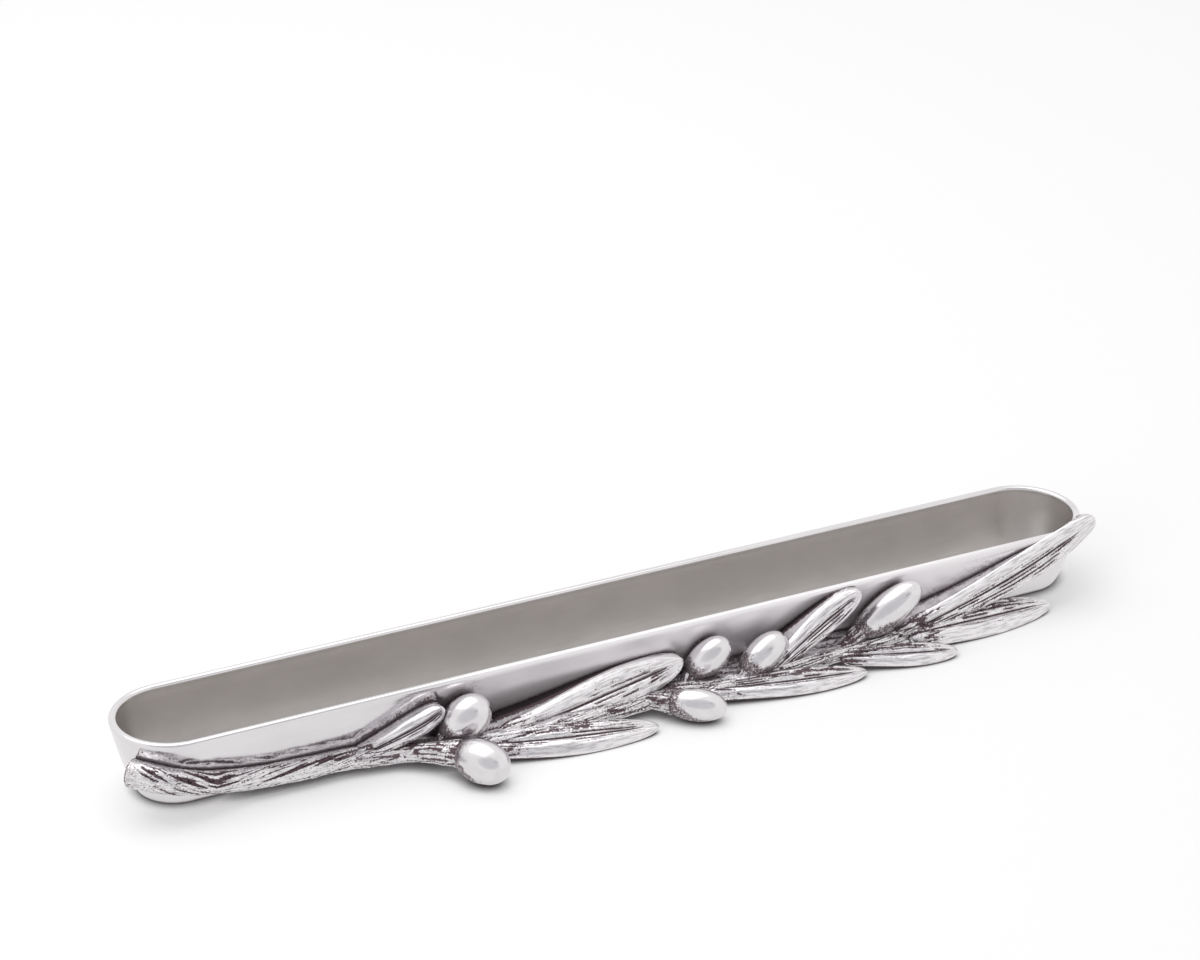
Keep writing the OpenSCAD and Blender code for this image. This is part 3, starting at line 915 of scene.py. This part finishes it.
class OLIVE_OT_stalks(bpy.types.Operator):
    """Build the six stalks that carry the fruits"""

    bl_idname = "olive_dish.stalks"
    bl_label = "Stalks"

    def execute(self, context):
        form = Form(context.scene.olive_sizes)
        material = antiqued(context.scene.olive_colours, "Aluminium cast as stalks with patina and painted shade", polish=0.24)
        rows = form.fruit_rows
        build_each(form, rows, "stalk", stalk_surface, STALK_GRID, STALK_SEED, "sprig_metal", material)
        return {"FINISHED"}


class OLIVE_OT_fruits(bpy.types.Operator):
    """Build the six fruits of the sprig"""

    bl_idname = "olive_dish.fruits"
    bl_label = "Fruits"

    def execute(self, context):
        form = Form(context.scene.olive_sizes)
        material = polished_fruit(context.scene.olive_colours)
        rows = form.fruit_rows
        build_each(form, rows, "fruit", fruit_surface, FRUIT_GRID, FRUIT_SEED, "fruit_metal", material)
        return {"FINISHED"}


# Stage


def add_camera():
    """The camera, placed where the photograph was taken from."""
    azimuth, elevation, distance = math.radians(-25.91), math.radians(27.111), 0.991984
    aim = Vector((0, 0, 0.022))
    # How far the camera moves right and up without turning, so that the dish sits low in the frame
    off_right, off_up = -0.005407, 0.035512
    level = math.cos(elevation)
    back = Vector((math.sin(azimuth) * level, -math.cos(azimuth) * level, math.sin(elevation)))
    right = Vector((math.cos(azimuth), math.sin(azimuth), 0))
    up = back.cross(right)
    place = aim + back * distance + right * off_right + up * off_up
    data = bpy.data.cameras.new("camera")
    data.lens = 105.78
    data.sensor_width = 36
    obj = bpy.data.objects.new("camera", data)
    bpy.context.scene.collection.objects.link(obj)
    rows = [(right[axis], up[axis], back[axis], place[axis]) for axis in range(3)]
    obj.matrix_world = Matrix((*rows, (0, 0, 0, 1)))
    bpy.context.scene.camera = obj


def add_softbox(name, place, size, power, mirrored, aim=(0, 0, 0)):
    """A softbox lamp turned to aim. Polished metal shows it only where mirrored is set."""
    data = bpy.data.lights.new(name, "AREA")
    data.shape = "RECTANGLE"
    data.size, data.size_y = size
    data.energy = power
    obj = bpy.data.objects.new(name, data)
    bpy.context.scene.collection.objects.link(obj)
    obj.location = place
    obj.rotation_euler = (Vector(aim) - Vector(place)).to_track_quat("-Z", "Y").to_euler()
    obj.visible_glossy = mirrored


def seen_white(tree):
    """1 for rays that show the background: from the camera, a mirror or glass."""
    path = add(tree, "ShaderNodeLightPath")
    seen = maths(tree, "MAXIMUM", path.outputs["Is Camera Ray"], path.outputs["Is Glossy Ray"])
    return maths(tree, "MAXIMUM", seen, path.outputs["Is Transmission Ray"])


def floor_material():
    """White paper under and behind the dish."""
    # The eye sees a white ground with a soft shadow that darkens close under the dish. The shares of light
    # that polished metal mirrors come from an even white instead, so that the metal shows a clean background.
    material, tree = new_material("White paper sweep")
    fibre = noise_value(tree, 1.2, detail=2.0)
    under = add(tree, "ShaderNodeAmbientOcclusion", {"Distance": 5 * MM}, samples=8)
    lit = span(tree, under.outputs["AO"], 0.1, 0.8)
    paper = mixed(tree, fibre, linear("#f3f3f3"), linear("#f6f6f6"))
    shown_paper = mixed(tree, lit, linear("#6e6c6e"), paper)
    diffuse = add(tree, "ShaderNodeBsdfDiffuse", links={"Color": shown_paper})
    glowing = times(tree, times(tree, seen_white(tree), 0.22), lit)
    glow = add(tree, "ShaderNodeEmission", {"Color": (1, 1, 1, 1)}, {"Strength": glowing})
    both = add(tree, "ShaderNodeAddShader", links={0: diffuse.outputs["BSDF"], 1: glow.outputs["Emission"]})
    white = add(tree, "ShaderNodeEmission", {"Color": (1, 1, 1, 1), "Strength": 0.95})
    mirrored = times(tree, add(tree, "ShaderNodeLightPath").outputs["Is Glossy Ray"], 0.8)
    shown = add(tree, "ShaderNodeMixShader", links={0: mirrored, 1: both.outputs[0], 2: white.outputs[0]})
    add(tree, "ShaderNodeOutputMaterial", links={"Surface": shown.outputs["Shader"]})
    return material


def card_material(name, low, high):
    """A studio card, whose faint cloud and soft edges show in the polished metal."""
    material, tree = new_material(name)
    shade = mixed(tree, noise_value(tree, 60), linear(low), linear(high))
    glow = add(tree, "ShaderNodeEmission", {"Strength": 1.0}, {"Color": shade})
    clear = add(tree, "ShaderNodeBsdfTransparent")
    place = add(tree, "ShaderNodeTexCoord").outputs["Object"]
    from_middle = add(tree, "ShaderNodeVectorMath", links={0: place}, operation="LENGTH")
    solid = span(tree, from_middle.outputs["Value"], 0.5, 0.3)
    soft = add(tree, "ShaderNodeMixShader", links={0: solid, 1: clear.outputs[0], 2: glow.outputs[0]})
    add(tree, "ShaderNodeOutputMaterial", links={"Surface": soft.outputs["Shader"]})
    return material


def add_card(name, place, size, material):
    """A card turned to the dish that only mirrors show."""
    bpy.ops.mesh.primitive_plane_add(size=1, location=place)
    card = bpy.context.object
    card.name = name
    card.scale = (*size, 1)
    card.rotation_euler = (-card.location).to_track_quat("-Z", "Y").to_euler()
    card.data.materials.append(material)
    card.visible_shadow = False
    card.visible_diffuse = False
    card.visible_camera = False


def add_floor():
    """The floor, a hair below the dish's base so that the two don't share a plane."""
    deselect()
    bpy.ops.mesh.primitive_plane_add(size=6, location=(0, 0, -0.05 * MM))
    floor = bpy.context.object
    floor.name = "floor"
    floor.data.materials.append(floor_material())


def add_world():
    """An even white room: dim for the light on the dish, full white where it is seen."""
    world = bpy.data.worlds.new("studio")
    bpy.context.scene.world = world
    world.use_nodes = True
    tree = world.node_tree
    tree.nodes.clear()
    strength = span(tree, seen_white(tree), 0, 1, 0.58, 1.0, "LINEAR")
    glow = add(tree, "ShaderNodeBackground", {"Color": (1, 1, 1, 1)}, {"Strength": strength})
    add(tree, "ShaderNodeOutputWorld", links={"Surface": glow.outputs["Background"]})


class OLIVE_OT_stage(bpy.types.Operator):
    """Set up the camera, the lamps, the white floor and the world"""

    bl_idname = "olive_dish.stage"
    bl_label = "Stage"

    def execute(self, context):
        add_camera()
        add_floor()
        grey = card_material("Pale grey card", "#d6d6d9", "#dedee1")
        add_card("grey_card", place=(-0.6, -1.3, 1.0), size=(3.4, 2.6), material=grey)
        dark = card_material("Dark card", "#48484c", "#56565a")
        add_card("dark_card", place=(0.2, -0.95, 0.85), size=(0.3, 0.2), material=dark)
        add_softbox("softbox_above", (-0.15, 0.35, 1.1), (1.3, 1.0), 4.4, mirrored=True)
        add_softbox("softbox_left", (-1.0, -0.5, 0.7), (0.7, 0.9), 2.3, mirrored=False, aim=(0, 0, 0.01))
        add_world()
        context.scene.view_settings.view_transform = "Standard"
        return {"FINISHED"}


class OLIVE_PT_panel(bpy.types.Panel):
    """Sizes, colours and pieces of the olive dish"""

    bl_idname = "OLIVE_PT_panel"
    bl_label = "Olive Dish"
    bl_space_type = "VIEW_3D"
    bl_region_type = "UI"
    bl_category = "Olive Dish"

    def draw(self, context):
        for settings in (context.scene.olive_sizes, context.scene.olive_colours):
            for name in settings.__annotations__:
                self.layout.prop(settings, name)
        for operator in OPERATORS:
            self.layout.operator(operator.bl_idname)


# In the order in which main calls them
OPERATORS = (OLIVE_OT_tray, OLIVE_OT_stem, OLIVE_OT_leaves, OLIVE_OT_stalks, OLIVE_OT_fruits, OLIVE_OT_stage)
CLASSES = (DishSizes, DishColours, *OPERATORS, OLIVE_PT_panel)


def register():
    """Adds the classes and the dish's settings to Blender."""
    for item in CLASSES:
        bpy.utils.register_class(item)
    bpy.types.Scene.olive_sizes = bpy.props.PointerProperty(type=DishSizes)
    bpy.types.Scene.olive_colours = bpy.props.PointerProperty(type=DishColours)


def unregister():
    """Takes the settings and the classes out again."""
    del bpy.types.Scene.olive_colours
    del bpy.types.Scene.olive_sizes
    for item in reversed(CLASSES):
        bpy.utils.unregister_class(item)


def main():
    """Builds the dish and its stage."""
    register()
    bpy.ops.olive_dish.tray()
    bpy.ops.olive_dish.stem()
    bpy.ops.olive_dish.leaves()
    bpy.ops.olive_dish.stalks()
    bpy.ops.olive_dish.fruits()
    bpy.ops.olive_dish.stage()


if __name__ == "__main__":
    main()
